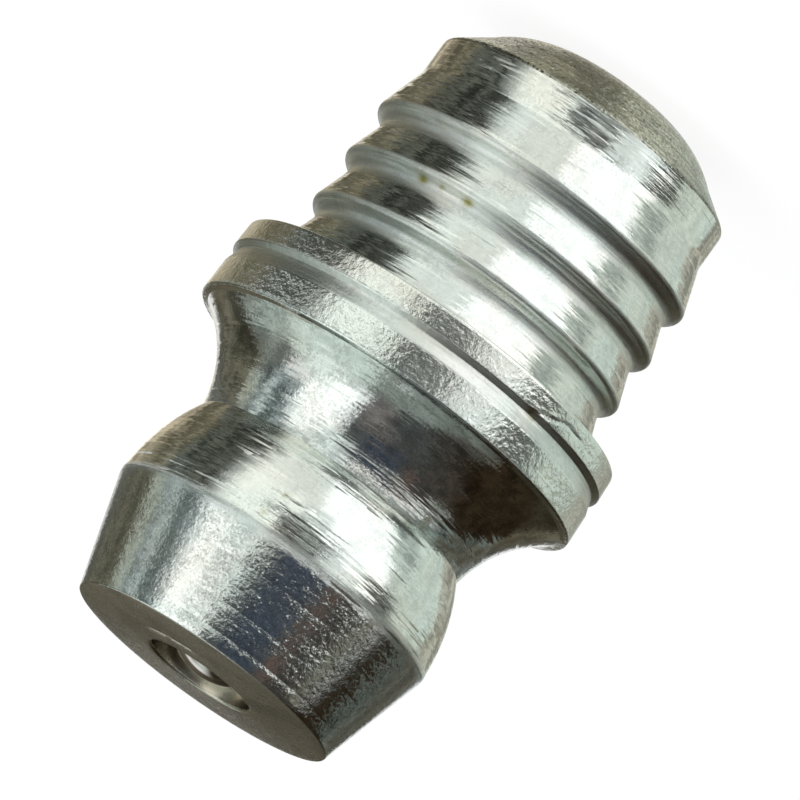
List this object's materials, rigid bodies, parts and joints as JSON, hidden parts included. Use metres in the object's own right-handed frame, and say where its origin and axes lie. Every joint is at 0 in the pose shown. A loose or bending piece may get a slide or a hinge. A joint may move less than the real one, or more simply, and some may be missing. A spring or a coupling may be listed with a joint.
{
  "type": "grease nipple",
  "caption": "Straight drive-in grease nipple: coupler head, necked collar, barbed shank, spring-loaded check ball.",
  "frame": {"origin": "centre of the flat ring on the closed-in tail, on which the nipple stands", "axes": "+Z along the nipple's axis from the tail to the nose; X and Y are free, because everything but the spring's winding is round"},
  "size_m": [0.0078, 0.0078, 0.0128],
  "materials": {
    "zinc_plated_steel": "bright zinc plate, slightly mottled",
    "bearing_steel": "polished",
    "spring_steel": "drawn wire"
  },
  "bodies": {
    "nipple": {"body": "zinc_plated_steel", "spring": "spring_steel"},
    "ball": {"check_ball": "bearing_steel"}
  },
  "joints": [
    {"name": "ball_lift", "type": "slide", "parent": "nipple", "child": "ball", "axis": [0, 0, -1], "range_m": [0, 0.0063], "stiffness_N_per_m": 1000, "springref_m": -0.001, "deforming": ["spring"]}
  ]
}
